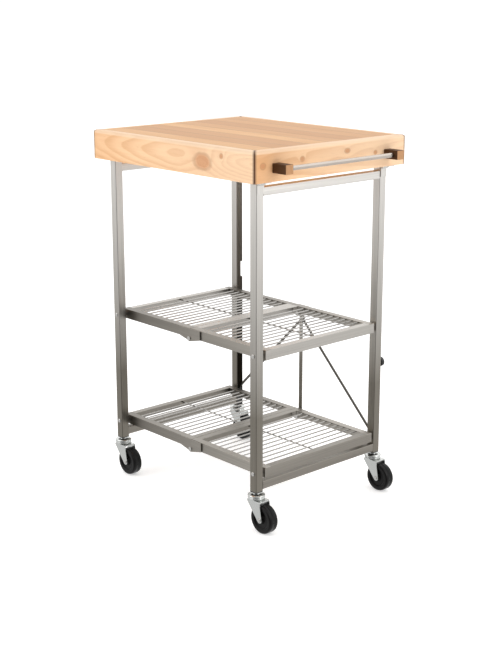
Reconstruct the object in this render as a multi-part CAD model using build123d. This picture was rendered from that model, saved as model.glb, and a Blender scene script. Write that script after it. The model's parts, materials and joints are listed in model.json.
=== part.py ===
"""Folding kitchen island cart: a wooden top hinged on one of two steel end frames, two wire shelves that
fold upwards in the middle, a towel rail, a rear linkage and four swivel casters.

X runs along the top towards the towel rail, -Y is the front, Z is up, and Z = 0 is the floor.
The model is drawn about the fold plane (X = 0) and moved to the centre of its box when it is written.
"""

import os
from math import acos, asin, atan2, cos, degrees, hypot, sin

from build123d import *

# top
overall_height = 900.0
top_length = 590.0
top_depth = 490.0
top_thickness = 71.0
apron_thickness = 18.0
panel_thickness = 28.0
top_edge_radius = 7.0
top_corner_radius = 3.5

# towel rail
block_reach = 43.0
block_width = 23.0
block_height = 21.5
block_spacing = 361.0
rail_radius = 5.5
rail_stand_off = 28.5
rail_drop = 40.0
rail_seat_depth = 8.0
post_chamfer = 0.8
screw_radius = 2.5
screw_head_height = 2.5
screw_grip = 22.0

# end frames; the play is between the legs and the aprons that hang round their tops
left_leg_play = 3.0
right_hinge_play = 3.0
side_leg_play = 15.0
leg_size = 22.0
leg_wall = 1.5
leg_corner = 2.0
rail_size = 20.0
top_rail_drop = 14.0
bottom_rail_gap = 3.0
cap_thickness = 2.0
cap_plug_depth = 12.0
notch_depth = 8.0
notch_height = 42.0
notch_above_pivot = 60.0

# shelves
lower_pivot_above_foot = 44.0
shelf_spacing = 286.0
bar_height = 24.5
bar_width = 18.0
bar_wall = 1.5
pivot_above_bar = 13.5
side_gap = 7.0
seam_gap = 1.0
wire_diameter = 3.4
wire_count = 10
wire_tuck = 8.0
wire_weld = 0.5

# pivots and rear linkage
rivet_radius = 3.0
rivet_head_radius = 5.2
rivet_head_height = 2.0
shoulder_radius = 6.0
ear_thickness = 1.6
ear_radius = 8.0
ear_length = 40.0
ear_pad_gap = 6.0
link_thickness = 2.5
link_gap = 0.5
link_play = 1.5
tie_width = 11.0
diagonal_width = 6.5
diagonal_eye_radius = 5.5
diagonal_drop = 16.0
roller_play = 1.5
roller_head_height = 1.5
roller_rest_rise = 0.0
latch_above_pivot = 189.0
knob_radius = 12.0
knob_thickness = 9.0
knob_edge_radius = 1.5
bush_radius = 9.0
bush_thickness = 3.0

# top hinges
hinge_barrel_radius = 4.0
hinge_pin_radius = 2.0
hinge_leaf_thickness = 2.0
hinge_leaf_width = 20.0
hinge_leaf_length = 24.0
hinge_knuckle_width = 8.0
hinge_drop = 1.0
hinge_edge_gap = 2.0

# casters
wheel_radius = 35.0
wheel_width = 26.0
wheel_edge_radius = 4.0
tyre_thickness = 11.2
wheel_dish_depth = 4.0
wheel_headroom = 6.2
caster_trail = 27.5
race_radius = 21.0
race_height = 13.0
fork_plate = 2.0
fork_crown = 3.5
fork_gap = 1.6
cheek_inset = 6.0
hood_reach = 28.0
axle_radius = 3.5
axle_head_radius = 5.4
axle_head_height = 2.5
hub_radius = 8.8
boss_radius = 7.6
stem_radius = 5.0
kingpin_head_radius = 8.0
kingpin_head_height = 3.0
stem_length = 30.0
socket_depth = 35.0
socket_flange = 2.0

# clearances
running = 0.06
slip = 0.3
rest_gap = 0.4
caster_clearance = 5.0

# derived places
hinge_room = 2 * hinge_barrel_radius + right_hinge_play
frame_pitch = top_length - 2 * apron_thickness - left_leg_play - hinge_room - leg_size
leg_pitch_y = top_depth - 2 * apron_thickness - 2 * side_leg_play - leg_size
top_shift = (hinge_room - left_leg_play) / 2
leg_bottom = (
    2 * wheel_radius + wheel_headroom + fork_plate + fork_crown + slip + race_height + socket_flange
)
lower_pivot_height = leg_bottom + lower_pivot_above_foot
roller_radius = leg_size / 2 - leg_wall - roller_play
link_stand_off = side_gap + leg_wall + rivet_head_height + link_play
half_pitch = frame_pitch / 2
leg_y = leg_pitch_y / 2
leg_inner_y = leg_y - leg_size / 2
leg_outer_y = leg_y + leg_size / 2
frame_outer_x = half_pitch + leg_size / 2
top_bottom = overall_height - top_thickness
panel_bottom = overall_height - panel_thickness
leg_top = panel_bottom - rest_gap - cap_thickness
top_right_x = top_length / 2 + top_shift
top_left_x = top_shift - top_length / 2
apron_inner_x = top_right_x - apron_thickness
box_centre_x = (top_left_x + top_right_x + block_reach) / 2

upper_pivot_height = lower_pivot_height + shelf_spacing
centre_drop = pivot_above_bar + seam_gap / 2
bar_outer_y = leg_inner_y - side_gap
bar_inner_y = bar_outer_y - bar_width
wire_z_above_pivot = bar_height - pivot_above_bar - bar_wall - wire_diameter / 2

tie_y = bar_outer_y + link_stand_off
right_diagonal_y = tie_y + link_thickness + link_gap
left_diagonal_y = right_diagonal_y + link_thickness + link_gap
upper_centre_height = upper_pivot_height - centre_drop
lower_centre_height = lower_pivot_height - centre_drop
roller_rest_height = lower_pivot_height + roller_rest_rise
diagonal_top_height = upper_centre_height - diagonal_drop
diagonal_length = hypot(half_pitch, diagonal_top_height - roller_rest_height)
latch_height = lower_pivot_height + latch_above_pivot

hinge_x = frame_outer_x + hinge_barrel_radius + slip
hinge_z = top_bottom - hinge_barrel_radius - hinge_drop

# folded state: the end frames stop where the trailing wheels of one clear the casters of the other
folded_pitch = caster_trail + wheel_radius + race_radius + caster_clearance
half_length = hypot(half_pitch, centre_drop)
fold_angle = atan2(centre_drop, half_pitch) + acos(folded_pitch / 2 / half_length)
folded_centre_rise = half_pitch * sin(fold_angle) - centre_drop * cos(fold_angle)
diagonal_rest_angle = asin(half_pitch / diagonal_length)
diagonal_folded_angle = asin(folded_pitch / 2 / diagonal_length)

SIDES = {"right": 1, "left": -1}
ENDS = {"front": -1, "rear": 1}


def block(x0, x1, y0, y1, z0, z1):
    """A box between two corners."""
    centre = Pos((x0 + x1) / 2, (y0 + y1) / 2, (z0 + z1) / 2)
    return centre * Box(abs(x1 - x0), abs(y1 - y0), abs(z1 - z0))


def rod_y(radius, x, z, y0, y1):
    """A round bar along Y."""
    return Pos(x, (y0 + y1) / 2, z) * Rot(90, 0, 0) * Cylinder(radius, abs(y1 - y0))


def rod_x(radius, y, z, x0, x1):
    """A round bar along X."""
    return Pos((x0 + x1) / 2, y, z) * Rot(0, 90, 0) * Cylinder(radius, abs(x1 - x0))


def rod_z(radius, x, y, z0, z1):
    """A round bar along Z."""
    return Pos(x, y, (z0 + z1) / 2) * Cylinder(radius, abs(z1 - z0))


def plate_y(outline, y0, y1):
    """A plate whose outline is drawn in X and Z, between two Y planes."""
    return Pos(0, max(y0, y1), 0) * Rot(90, 0, 0) * extrude(outline, abs(y1 - y0))


def both_sides(shape, side):
    """The shape as drawn for the right side, or its mirror image for the left."""
    return shape if side > 0 else mirror(shape, about=Plane.YZ)


def both_ends(shape, end):
    """The shape as drawn for the rear, or its mirror image for the front."""
    return shape if end > 0 else mirror(shape, about=Plane.XZ)


def write(node, *shapes):
    """Writes one node, with the box centre moved to the origin."""
    moved = [Pos(-box_centre_x, 0, 0) * shape for shape in shapes]
    solids = [solid for shape in moved for solid in shape.solids()]
    export_step(solids[0] if len(solids) == 1 else Compound(children=solids), f"parts/{node}.step")


# wooden top


def top_panel():
    """The glued-up board that fills the frame of aprons."""
    half_depth = top_depth / 2 - apron_thickness
    return block(
        top_left_x + apron_thickness, apron_inner_x, -half_depth, half_depth, panel_bottom, overall_height
    )


def apron_ring():
    """The whole frame of boards, before it is cut at its mitres."""
    outer = block(top_left_x, top_right_x, -top_depth / 2, top_depth / 2, top_bottom, overall_height)
    upright = outer.edges().filter_by(Axis.Z)
    outer = fillet(upright, top_corner_radius)
    outer = fillet(outer.faces().sort_by(Axis.Z)[-1].edges(), top_edge_radius)
    half_depth = top_depth / 2 - apron_thickness
    inner_x = top_left_x + apron_thickness
    return outer - block(inner_x, apron_inner_x, -half_depth, half_depth, top_bottom - 1, overall_height + 1)


def mitre_wedge(direction):
    """The part of the plan that belongs to one board: a trapezium cut at 45 degrees at each corner."""
    half_depth = top_depth / 2
    reach = half_depth - apron_thickness
    spread = apron_thickness + 1.0
    if direction in ("left", "right"):
        edge = top_right_x if direction == "right" else top_left_x
        out = 1 if direction == "right" else -1
        inner = edge - out * apron_thickness
        points = [
            (inner, -reach),
            (inner + out * spread, -reach - spread),
            (inner + out * spread, reach + spread),
            (inner, reach),
        ]
    else:
        out = 1 if direction == "rear" else -1
        left = top_left_x + apron_thickness
        points = [
            (left, out * reach),
            (left - spread, out * (reach + spread)),
            (apron_inner_x + spread, out * (reach + spread)),
            (apron_inner_x, out * reach),
        ]
    outline = make_face(Polyline(*points, close=True))
    return Pos(0, 0, top_bottom - 1) * extrude(outline, top_thickness + 2, dir=(0, 0, 1))


def aprons():
    """The four mitred boards, with the holes for the towel rail's screws in the right one."""
    ring = apron_ring()
    boards = {}
    for direction in ("front", "rear", "left", "right"):
        boards[direction] = ring & mitre_wedge(direction)
    for y in (-block_spacing / 2, block_spacing / 2):
        boards["right"] -= rod_x(screw_radius + running, y, rail_height, apron_inner_x - 1, top_right_x + 1)
    return boards


rail_height = overall_height - rail_drop
rail_x = top_right_x + rail_stand_off


def rail_block(end):
    """A square wooden post that carries one end of the towel rail."""
    y = end * block_spacing / 2
    post = block(
        top_right_x,
        top_right_x + block_reach,
        y - block_width / 2,
        y + block_width / 2,
        rail_height - block_height / 2,
        rail_height + block_height / 2,
    )
    far_end = post.faces().sort_by(Axis.X)[-1]
    post = chamfer(far_end.edges(), post_chamfer)
    face_y = y - end * block_width / 2
    seat = rod_y(rail_radius + running, rail_x, rail_height, face_y - end, face_y + end * rail_seat_depth)
    pilot = rod_x(screw_radius, y, rail_height, top_right_x - 1, top_right_x + screw_grip - apron_thickness)
    return post - seat - pilot


def towel_rail():
    """The round steel rail, seated in both posts."""
    reach = block_spacing / 2 - block_width / 2 + rail_seat_depth - slip
    return rod_y(rail_radius, rail_x, rail_height, -reach, reach)


def rail_block_screws():
    """A countersunk screw through the right apron into each post."""
    screws = []
    for y in (-block_spacing / 2, block_spacing / 2):
        tip = top_right_x + screw_grip - apron_thickness - slip
        shank = rod_x(screw_radius, y, rail_height, apron_inner_x - 0.5, tip)
        head = rod_x(2 * screw_radius, y, rail_height, apron_inner_x - screw_head_height, apron_inner_x)
        screws.append(shank + head)
    return screws


# top hinges


def hinge_slot(half_width, y):
    """The space round the barrel over a given width, cut away where the other leaf has its knuckles."""
    room = hinge_barrel_radius + slip
    top = top_bottom - hinge_leaf_thickness
    return block(hinge_x - room, hinge_x + room, y - half_width, y + half_width, hinge_z - room, top)


def hinge_leg_leaves():
    """For each right leg, a leaf on its outer face with the middle knuckle and the pin."""
    leaves = []
    half = hinge_leaf_width / 2
    knuckle = (hinge_knuckle_width - slip) / 2
    for y in (-leg_y, leg_y):
        low = hinge_z - hinge_leaf_length
        leaf = block(frame_outer_x, frame_outer_x + hinge_leaf_thickness, y - half, y + half, low, hinge_z)
        barrel = rod_y(hinge_barrel_radius, hinge_x, hinge_z, y - knuckle, y + knuckle)
        slots = hinge_slot(half + 1, y) - hinge_slot(knuckle, y)
        pin = rod_y(hinge_pin_radius, hinge_x, hinge_z, y - half, y + half)
        leaves.append(leaf + barrel - slots + pin)
    return leaves


def hinge_top_leaves():
    """For each hinge, a leaf under the right apron with the two outer knuckles."""
    leaves = []
    half = hinge_leaf_width / 2
    knuckle = (hinge_knuckle_width + slip) / 2
    for y in (-leg_y, leg_y):
        leaf = block(
            hinge_x,
            top_right_x - hinge_edge_gap,
            y - half,
            y + half,
            top_bottom - hinge_leaf_thickness,
            top_bottom,
        )
        barrel = rod_y(hinge_barrel_radius, hinge_x, hinge_z, y - half, y + half)
        bore = rod_y(hinge_pin_radius + running, hinge_x, hinge_z, y - half - 1, y + half + 1)
        notch = block(
            hinge_x - hinge_barrel_radius - 1,
            hinge_x + hinge_barrel_radius + slip,
            y - knuckle,
            y + knuckle,
            hinge_z - hinge_barrel_radius - 1,
            top_bottom - running,
        )
        leaves.append(leaf + barrel - notch - bore)
    return leaves


# end frames


def leg(side, end):
    """A front leg is a closed square tube; a rear leg is a channel that opens towards the fold plane."""
    outer = RectangleRounded(leg_size, leg_size, leg_corner)
    inner_size = leg_size - 2 * leg_wall
    if end < 0:
        section = outer - RectangleRounded(inner_size, inner_size, leg_corner - leg_wall)
    else:
        section = outer - Pos(-leg_wall / 2 - 1, 0) * Rectangle(leg_size - leg_wall + 2, inner_size)
    body = Pos(half_pitch, end * leg_y, leg_bottom) * extrude(section, leg_top - leg_bottom)
    for height in (lower_pivot_height, upper_pivot_height):
        hole_end = leg_outer_y + 1 if end < 0 else leg_inner_y + leg_wall + 1
        body -= rod_y(rivet_radius + running, half_pitch, height, end * (leg_inner_y - 1), end * hole_end)
    if end > 0:
        low = upper_pivot_height + notch_above_pivot - notch_height / 2
        free_edge = half_pitch - leg_size / 2
        flange_y = leg_outer_y - leg_wall
        body -= block(
            free_edge - 1, free_edge + notch_depth, flange_y - 1, leg_outer_y + 1, low, low + notch_height
        )
        if side > 0:
            body -= rod_y(rivet_radius + running, half_pitch, latch_height, flange_y - 1, leg_outer_y + 1)
    return both_sides(body, side)


def cross_rail(side, height):
    """A square tube between the two legs of a frame, flush with their outer faces."""
    outer = Rectangle(rail_size, rail_size)
    section = outer - Rectangle(rail_size - 2 * leg_wall, rail_size - 2 * leg_wall)
    tube = Rot(90, 0, 0) * extrude(section, 2 * leg_inner_y)
    placed = Pos(frame_outer_x - rail_size / 2, leg_inner_y, height) * tube
    return both_sides(placed, side)


top_rail_height = top_bottom - top_rail_drop - rail_size / 2
end_bar_sweep = hypot(leg_size / 2, pivot_above_bar)
bottom_rail_height = lower_pivot_height - end_bar_sweep - bottom_rail_gap - rail_size / 2


def leg_caps(side):
    """A plastic cap with a plug in the top of each leg; the top rests on them."""
    caps = []
    plug_size = leg_size - 2 * leg_wall - slip
    for end in ENDS.values():
        centre = Pos(half_pitch, end * leg_y, leg_top)
        lid = centre * extrude(RectangleRounded(leg_size, leg_size, leg_corner), cap_thickness)
        plug = centre * extrude(Rectangle(plug_size, plug_size), -cap_plug_depth)
        caps.append(both_sides(lid + plug, side))
    return caps


def stem_sockets(side):
    """A plastic socket in the foot of each leg that grips a caster's stem."""
    sockets = []
    block_size = leg_size - 2 * leg_wall - slip
    for end in ENDS.values():
        centre = Pos(half_pitch, end * leg_y, leg_bottom)
        body = centre * extrude(Rectangle(block_size, block_size), socket_depth)
        flange = centre * extrude(RectangleRounded(leg_size, leg_size, leg_corner), -socket_flange)
        bore_start = leg_bottom - socket_flange - 1
        bore = rod_z(stem_radius + running, half_pitch, end * leg_y, bore_start, leg_bottom + stem_length)
        sockets.append(both_sides(body + flange - bore, side))
    return sockets


def pivot_rivet(end, height):
    """A shouldered rivet: head on the leg, shoulder between leg and bar, tail behind the side bar's wall."""
    head_face = leg_outer_y if end < 0 else leg_inner_y + leg_wall
    tail_face = bar_outer_y - bar_wall - slip
    shank = rod_y(rivet_radius, half_pitch, height, head_face, tail_face - rivet_head_height / 2)
    head = rod_y(rivet_head_radius, half_pitch, height, head_face, head_face + rivet_head_height)
    dome = head.edges().filter_by(GeomType.CIRCLE).sort_by(Axis.Y)[-1]
    head = fillet(dome, rivet_head_height * 0.7)
    shoulder = rod_y(shoulder_radius, half_pitch, height, leg_inner_y, bar_outer_y + slip)
    tail = rod_y(rivet_head_radius, half_pitch, height, tail_face, tail_face - rivet_head_height)
    return shank + head + shoulder + tail


def pivot_rivets(side):
    """The four rivets on which one frame carries both shelves."""
    rivets = []
    for end in ENDS.values():
        for height in (lower_pivot_height, upper_pivot_height):
            rivet = pivot_rivet(end, height)
            rivets.append(both_sides(both_ends(rivet, end), side))
    return rivets


def latch_bush():
    """The guide of the latch knob, on the outside of the right rear leg."""
    bush = rod_y(bush_radius, half_pitch, latch_height, leg_outer_y, leg_outer_y + bush_thickness)
    bore_end = leg_outer_y + bush_thickness + 1
    bore = rod_y(rivet_radius + running, half_pitch, latch_height, leg_outer_y - 1, bore_end)
    return bush - bore


def latch_knob():
    """A pull knob whose pin reaches through the channel's rear flange."""
    face = leg_outer_y + bush_thickness + slip
    knob = rod_y(knob_radius, half_pitch, latch_height, face, face + knob_thickness)
    knob = fillet(knob.edges().filter_by(GeomType.CIRCLE), knob_edge_radius)
    pin = rod_y(rivet_radius, half_pitch, latch_height, leg_outer_y - leg_wall, face + 1)
    return knob + pin


# shelves


def ear(side, pivot_height):
    """The hinge ear at the inner end of a rear side bar; the right one laps outside the left one."""
    centre_height = pivot_height - centre_drop
    bar_bottom = pivot_height - pivot_above_bar
    corner = Pos(0, centre_height) * Circle(ear_radius)
    middle = Pos((seam_gap + ear_length) / 2, bar_bottom + bar_height / 2)
    face = middle * Rectangle(ear_length, bar_height - bar_wall)
    past_seam = Pos(seam_gap / 2 - bar_height, pivot_height) * Rectangle(2 * bar_height, 4 * bar_height)
    outline = make_hull(corner.edges() + face.edges()) - past_seam + corner
    inner_y = bar_outer_y if side < 0 else bar_outer_y + ear_thickness + slip
    plate = plate_y(outline, inner_y, inner_y + ear_thickness)
    if side > 0:
        pad_start = ear_radius + ear_pad_gap
        pad_top = bar_bottom + bar_height - bar_wall
        plate += block(pad_start, ear_length, bar_outer_y, inner_y, bar_bottom + bar_wall, pad_top)
    return plate


def side_bars(side, pivot_height):
    """The front and rear bars of one half shelf: steel angles with a top flange, and their hinge ears."""
    bar_bottom = pivot_height - pivot_above_bar
    bar_top = bar_bottom + bar_height
    start = seam_gap / 2
    wall_inner_y = bar_outer_y - bar_wall
    flange = block(start, frame_outer_x, bar_inner_y, bar_outer_y, bar_top - bar_wall, bar_top)
    wall = block(start, frame_outer_x, wall_inner_y, bar_outer_y, bar_bottom, bar_top)
    hole = rod_y(rivet_radius + running, half_pitch, pivot_height, bar_inner_y - 1, bar_outer_y + 1)
    centre_height = pivot_height - centre_drop
    tail_room = rod_y(rivet_head_radius + slip, 0, centre_height, wall_inner_y - 1, bar_outer_y)
    pin_hole = rod_y(
        rivet_radius + running, 0, centre_height, bar_outer_y - 1, bar_outer_y + 2 * ear_thickness + 2
    )
    bar = flange + wall - hole - tail_room + ear(side, pivot_height) - pin_hole
    return [both_sides(both_ends(bar, end), side) for end in ENDS.values()]


def cross_bars(side, pivot_height):
    """The end bar at the legs and the centre bar at the seam of one half shelf, both steel angles."""
    bars = []
    bar_bottom = pivot_height - pivot_above_bar
    bar_top = bar_bottom + bar_height
    flange_bottom = bar_top - bar_wall
    seam_x = seam_gap / 2
    under_flange = bar_outer_y - bar_wall
    for edge, inward, reach in ((seam_x, 1, bar_inner_y), (frame_outer_x, -1, under_flange)):
        far = edge + inward * bar_width
        flange = block(edge, far, -bar_inner_y, bar_inner_y, flange_bottom, bar_top)
        wall = block(edge, edge + inward * bar_wall, -reach, reach, bar_bottom, flange_bottom)
        bars.append(both_sides(flange + wall, side))
    return bars


def grille(side, pivot_height):
    """Round wires under the front and rear flanges, welded on one wire that runs under their middle."""
    first = seam_gap / 2 + bar_width
    last = frame_outer_x - bar_width
    reach = bar_inner_y + wire_tuck
    radius = wire_diameter / 2
    height = pivot_height + wire_z_above_pivot
    pitch = (last - first) / (wire_count + 1)
    start = seam_gap / 2 + bar_wall
    mesh = rod_x(radius, 0, height - wire_diameter + wire_weld, start, frame_outer_x - bar_wall)
    for number in range(1, wire_count + 1):
        mesh += rod_y(radius, first + number * pitch, height, -reach, reach)
    return both_sides(mesh, side)


def centre_pin(end, height):
    """A hinge pin through both ears; a rear one goes on through the tie."""
    ears_out = bar_outer_y + 2 * ear_thickness + slip
    inner_face = bar_outer_y - slip
    last = tie_y + link_thickness + slip if end > 0 else ears_out
    shank = rod_y(rivet_radius, 0, height, inner_face - rivet_head_height / 2, last + rivet_head_height / 2)
    tail = rod_y(rivet_head_radius, 0, height, inner_face - rivet_head_height, inner_face)
    head = rod_y(rivet_head_radius, 0, height, last, last + rivet_head_height)
    pin = shank + tail + head
    if end > 0:
        pin += rod_y(shoulder_radius - 1, 0, height, ears_out, tie_y - slip)
    return both_ends(pin, end)


def centre_pins(height):
    """The front and the rear hinge pin of one shelf."""
    return [centre_pin(end, height) for end in ENDS.values()]


# rear linkage


def strip(x0, z0, x1, z1, width, eye_radius, y0):
    """A flat strip with a round eye and a hole at each end."""
    length = hypot(x1 - x0, z1 - z0)
    turn = degrees(atan2(z1 - z0, x1 - x0))
    outline = Rectangle(length, width)
    for x in (-length / 2, length / 2):
        outline += Pos(x, 0) * Circle(eye_radius)
    for x in (-length / 2, length / 2):
        outline -= Pos(x, 0) * Circle(rivet_radius + running)
    placed = Pos((x0 + x1) / 2, (z0 + z1) / 2) * Rot(0, 0, turn) * outline
    return plate_y(placed, y0, y0 + link_thickness)


def tie_link():
    """The upright strip that makes both shelves rise together, with the stud the diagonals turn on."""
    bar = strip(0, lower_centre_height, 0, upper_centre_height, tie_width, tie_width / 2, tie_y)
    stud_end = left_diagonal_y + link_thickness + slip
    bar += rod_y(rivet_radius, 0, diagonal_top_height, tie_y, stud_end + rivet_head_height)
    return bar + rod_y(rivet_head_radius, 0, diagonal_top_height, stud_end, stud_end + rivet_head_height)


def diagonal(side):
    """A slanted strip from the stud on the tie to the channel of a rear leg."""
    y = right_diagonal_y if side > 0 else left_diagonal_y
    far_x = side * half_pitch
    return strip(
        0, diagonal_top_height, far_x, roller_rest_height, diagonal_width, diagonal_eye_radius, y
    )


def slide_roller(side):
    """The pin and nylon roller at a diagonal's lower end, which runs in the leg's channel."""
    y = right_diagonal_y if side > 0 else left_diagonal_y
    x = side * half_pitch
    far_y = leg_outer_y - leg_wall - link_gap
    pin = rod_y(rivet_radius, x, roller_rest_height, y - roller_head_height, far_y)
    head = rod_y(rivet_head_radius, x, roller_rest_height, y - roller_head_height, y)
    wheel = rod_y(roller_radius, x, roller_rest_height, y + link_thickness + slip, far_y)
    return pin + head + wheel


# casters

race_bottom = leg_bottom - socket_flange - race_height
crown_top = race_bottom - slip
crown_bottom = crown_top - fork_crown
fork_inner_y = wheel_width / 2 + fork_gap
fork_outer_y = fork_inner_y + fork_plate
cheek_reach = race_radius - cheek_inset


def caster_stems(side):
    """The stem, the fixed ball race and the kingpin of both casters on one frame."""
    stems = []
    for end in ENDS.values():
        x = side * half_pitch
        y = end * leg_y
        top = leg_bottom - socket_flange
        race = rod_z(race_radius, x, y, race_bottom, top)
        race = fillet(race.edges().filter_by(GeomType.CIRCLE).sort_by(Axis.Z)[-1], race_height * 0.5)
        stem = rod_z(stem_radius, x, y, top - 1, leg_bottom + stem_length - slip)
        kingpin = rod_z(stem_radius, x, y, crown_bottom - slip, race_bottom + 1)
        head_top = crown_bottom - slip
        head = rod_z(kingpin_head_radius, x, y, head_top - kingpin_head_height, head_top)
        stems.append(race + stem + kingpin + head)
    return stems


def caster_fork(side, end):
    """The swivelling fork: a round crown and two cheeks that reach back to the axle."""
    crown = rod_z(race_radius - 1, 0, 0, crown_bottom, crown_top)
    hood_middle = (hood_reach - cheek_reach) / 2
    hood_length = hood_reach + cheek_reach
    shoulder = Pos(hood_middle, crown_bottom) * Rectangle(hood_length, 1, align=(Align.CENTER, Align.MAX))
    boss = Pos(caster_trail, wheel_radius) * Circle(boss_radius)
    outline = make_hull(shoulder.edges() + boss.edges())
    outline -= Pos(caster_trail, wheel_radius) * Circle(axle_radius + running)
    fork = crown
    for y in (-fork_outer_y, fork_inner_y):
        fork += plate_y(outline, y, y + fork_plate)
    web_bottom = crown_bottom - fork_plate
    fork += block(-cheek_reach, hood_reach, -fork_outer_y, fork_outer_y, web_bottom, crown_bottom)
    fork -= rod_z(stem_radius + running, 0, 0, web_bottom - 1, crown_top + 1)
    fork -= rod_z(kingpin_head_radius + slip, 0, 0, web_bottom - 1, crown_bottom)
    return Pos(side * half_pitch, end * leg_y, 0) * fork


def caster_axle(side, end):
    """The bolt through both cheeks and the wheel."""
    shank = rod_y(axle_radius, 0, 0, -fork_outer_y, fork_outer_y)
    for out in (-1, 1):
        shank += rod_y(axle_head_radius, 0, 0, out * fork_outer_y, out * (fork_outer_y + axle_head_height))
    return Pos(side * half_pitch + caster_trail, end * leg_y, wheel_radius) * shank


def caster_wheel(side, end):
    """A solid wheel with rounded shoulders, dished sides and a bored hub."""
    half = wheel_width / 2
    tyre = rod_y(wheel_radius, 0, 0, -half, half)
    tyre = fillet(tyre.edges().filter_by(GeomType.CIRCLE), wheel_edge_radius)
    for out in (-1, 1):
        dish = rod_y(wheel_radius - tyre_thickness, 0, 0, out * half, out * (half - wheel_dish_depth))
        hub = rod_y(hub_radius, 0, 0, out * half, out * (half - wheel_dish_depth))
        tyre -= dish - hub
    tyre -= rod_y(axle_radius + running, 0, 0, -half - 1, half + 1)
    return Pos(side * half_pitch + caster_trail, end * leg_y, wheel_radius) * tyre


# writing


def main():
    os.makedirs("parts", exist_ok=True)
    write("top_panel", top_panel())
    for name, board in aprons().items():
        write(f"apron_{name}", board)
    for name, end in ENDS.items():
        write(f"rail_post_{name}", rail_block(end))
    write("towel_rail", towel_rail())
    write("rail_post_screws", *rail_block_screws())
    write("hinge_leg_leaves", *hinge_leg_leaves())
    write("hinge_top_leaves", *hinge_top_leaves())

    for side_name, side in SIDES.items():
        for end_name, end in ENDS.items():
            write(f"leg_{side_name}_{end_name}", leg(side, end))
            write(f"caster_fork_{side_name}_{end_name}", caster_fork(side, end))
            write(f"caster_axle_{side_name}_{end_name}", caster_axle(side, end))
            write(f"caster_wheel_{side_name}_{end_name}", caster_wheel(side, end))
        write(f"top_rail_{side_name}", cross_rail(side, top_rail_height))
        write(f"bottom_rail_{side_name}", cross_rail(side, bottom_rail_height))
        write(f"leg_caps_{side_name}", *leg_caps(side))
        write(f"stem_sockets_{side_name}", *stem_sockets(side))
        write(f"caster_stems_{side_name}", *caster_stems(side))
        write(f"pivot_rivets_{side_name}", *pivot_rivets(side))
        for level, height in (("upper", upper_pivot_height), ("lower", lower_pivot_height)):
            write(f"side_bars_{level}_{side_name}", *side_bars(side, height))
            write(f"cross_bars_{level}_{side_name}", *cross_bars(side, height))
            write(f"grille_{level}_{side_name}", grille(side, height))
        write(f"diagonal_{side_name}", diagonal(side))
        write(f"slide_roller_{side_name}", slide_roller(side))

    write("centre_pins_upper", *centre_pins(upper_centre_height))
    write("centre_pins_lower", *centre_pins(lower_centre_height))
    write("tie_link", tie_link())
    write("latch_bush", latch_bush())
    write("latch_knob", latch_knob())

    print(f"fold angle {degrees(fold_angle):.3f} degrees, end frames {folded_pitch:.1f} apart when folded")
    print(f"diagonals turn {degrees(diagonal_rest_angle - diagonal_folded_angle):.3f} degrees")


main()
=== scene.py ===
import json
import math
import bpy
import numpy as np
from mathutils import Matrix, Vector


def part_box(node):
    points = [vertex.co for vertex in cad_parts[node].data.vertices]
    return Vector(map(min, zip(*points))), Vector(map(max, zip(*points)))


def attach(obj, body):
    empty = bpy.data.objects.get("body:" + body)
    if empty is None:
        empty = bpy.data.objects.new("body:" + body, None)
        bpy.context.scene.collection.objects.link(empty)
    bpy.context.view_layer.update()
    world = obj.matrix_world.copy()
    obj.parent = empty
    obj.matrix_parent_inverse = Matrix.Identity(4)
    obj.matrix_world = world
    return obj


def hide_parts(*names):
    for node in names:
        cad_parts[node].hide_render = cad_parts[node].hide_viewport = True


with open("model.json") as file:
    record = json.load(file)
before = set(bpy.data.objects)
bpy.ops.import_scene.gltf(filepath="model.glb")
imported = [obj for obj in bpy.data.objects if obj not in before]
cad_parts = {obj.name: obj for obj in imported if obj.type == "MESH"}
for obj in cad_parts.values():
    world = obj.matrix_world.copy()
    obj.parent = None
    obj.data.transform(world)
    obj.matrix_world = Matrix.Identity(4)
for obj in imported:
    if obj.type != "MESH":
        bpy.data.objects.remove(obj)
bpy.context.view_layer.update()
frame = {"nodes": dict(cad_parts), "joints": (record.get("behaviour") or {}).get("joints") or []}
mm = 0.001
allAxes = {"x": 0, "y": 1, "z": 2}
joint = {j["name"]: j for j in frame["joints"]}
pivotOf = {name: np.array(j["pos_m"]) for name, j in joint.items() if "pos_m" in j}
print("frame loaded:", len(frame["nodes"]), "nodes")


# Mesh tools. Every shape is a grid of rings (v, u, 3) with a matching grid of normals.


def discHull(centres, radii, count=48):
    # outline round a set of discs: in each direction t, the furthest gives centre + radius * (cos t, sin t)
    turn = (np.arange(count) + 0.5) * 2 * np.pi / count
    out = np.stack([np.cos(turn), np.sin(turn)], 1)
    centres = np.asarray(centres, float)
    radii = np.asarray(radii, float)
    pick = np.argmax(out @ centres.T + radii, axis=1)
    return centres[pick] + radii[pick, None] * out, out


def rectDiscs(a, b, width, height, radius):
    # the four corner discs of a rounded rectangle centred on (a, b)
    dx, dy = width / 2 - radius, height / 2 - radius
    return [(a + dx, b + dy), (a - dx, b + dy), (a - dx, b - dy), (a + dx, b - dy)], [radius] * 4


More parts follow.
